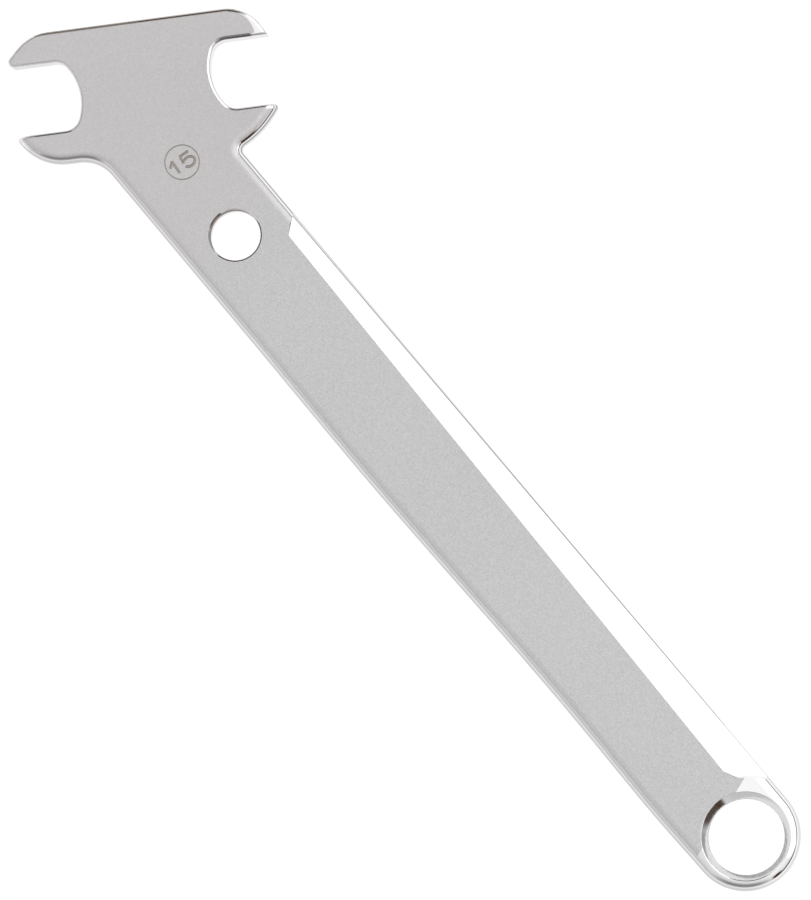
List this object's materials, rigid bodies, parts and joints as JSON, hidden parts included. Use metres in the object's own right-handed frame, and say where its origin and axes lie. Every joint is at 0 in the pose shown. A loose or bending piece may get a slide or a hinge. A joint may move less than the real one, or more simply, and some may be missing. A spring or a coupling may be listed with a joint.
{
  "type": "pedal wrench",
  "caption": "Flat chrome-plated wrench with opposed open jaws on an angled head, a long bevelled handle, a hanging hole in its ring end and a hole in the neck.",
  "frame": {"origin": "centre of the hanging hole in the ring end, in the middle of the plate's thickness", "axes": "+X along the handle towards the head, +Z out of the front face, +Y towards the handle's left edge with the head up"},
  "size_m": [0.243, 0.0561, 0.006],
  "materials": {
    "chrome_plate": "chrome plate, satin on the two faces and bright on the bevels, edges and hole rims"
  },
  "bodies": {
    "root": {"wrench_body": "chrome_plate"}
  },
  "joints": []
}
